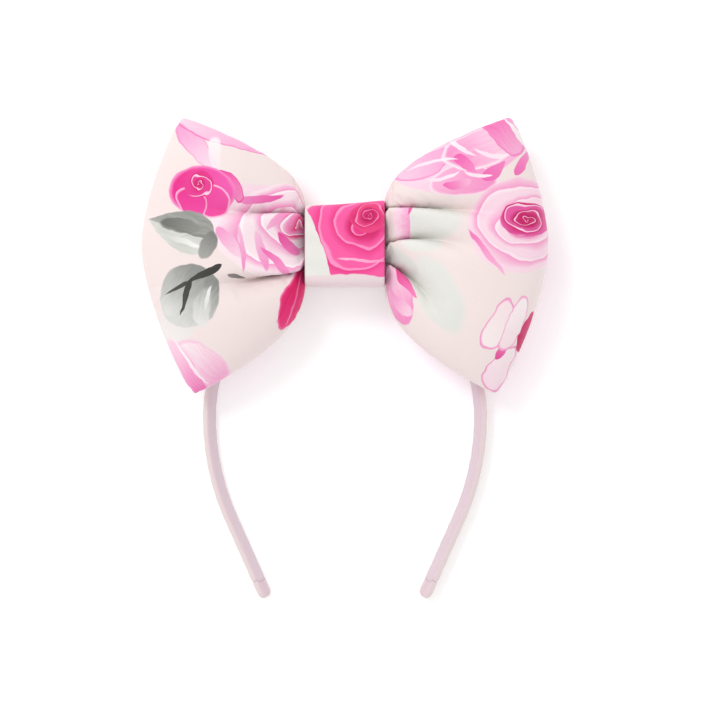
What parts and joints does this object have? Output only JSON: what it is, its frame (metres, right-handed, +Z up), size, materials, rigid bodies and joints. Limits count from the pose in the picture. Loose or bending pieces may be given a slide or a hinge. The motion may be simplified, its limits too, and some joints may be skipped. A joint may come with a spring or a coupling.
{
  "type": "padded bow headband",
  "caption": "Springy alice headband with a satin-covered strip and a large padded, gathered fabric bow held at the crown by a wrapped knot.",
  "frame": {"origin": "middle of the footprint of the headband lying on its long edge, on the surface it lies on", "axes": "+X towards the right arm, +Y from the arm tips towards the crown and the bow, +Z up from the surface, out of the face of the bow"},
  "size_m": [0.182, 0.2156, 0.0448],
  "materials": {
    "core_plastic": "satin-smooth moulded strip",
    "band_satin": "fine pale pink satin",
    "lining_ribbon": "satin ribbon, a little darker and cooler than the cover",
    "bow_fabric": "smooth heavy satin with a printed rose pattern on blush",
    "bow_backing": "smooth heavy satin, printed like the front",
    "knot_fabric": "the bow's printed satin, cut across a deep pink rose",
    "wadding": "white polyester wadding",
    "thread": "pale pink sewing thread",
    "glue": "clouded hot-melt glue"
  },
  "bodies": {
    "root": {"core_crown": "core_plastic", "satin_cover_crown": "band_satin", "lining_crown": "lining_ribbon", "bow_front_panel": "bow_fabric", "bow_back_panel": "bow_backing", "wadding_left": "wadding", "wadding_right": "wadding", "waist_binding": "thread", "knot_wrap": "knot_fabric", "knot_padding": "wadding", "knot_closing_stitch": "thread", "glue_bead_left": "glue", "glue_bead_right": "glue"},
    "left_arm": {"core_left_arm": "core_plastic", "satin_cover_left_arm": "band_satin", "lining_left_arm": "lining_ribbon", "tip_cap_left": "band_satin"},
    "right_arm": {"core_right_arm": "core_plastic", "satin_cover_right_arm": "band_satin", "lining_right_arm": "lining_ribbon", "tip_cap_right": "band_satin"}
  },
  "joints": [
    {"name": "left_arm_spread", "type": "hinge", "parent": "root", "child": "left_arm", "pos_m": [-0.02514, 0.03574, 0.00605], "axis": [0, 0.0128, -0.9999], "range_deg": [-3, 15], "stiffness_Nm_per_rad": 1.2},
    {"name": "right_arm_spread", "type": "hinge", "parent": "root", "child": "right_arm", "pos_m": [0.02514, 0.03574, 0.00605], "axis": [0, -0.0128, 0.9999], "range_deg": [-3, 15], "stiffness_Nm_per_rad": 1.2}
  ]
}
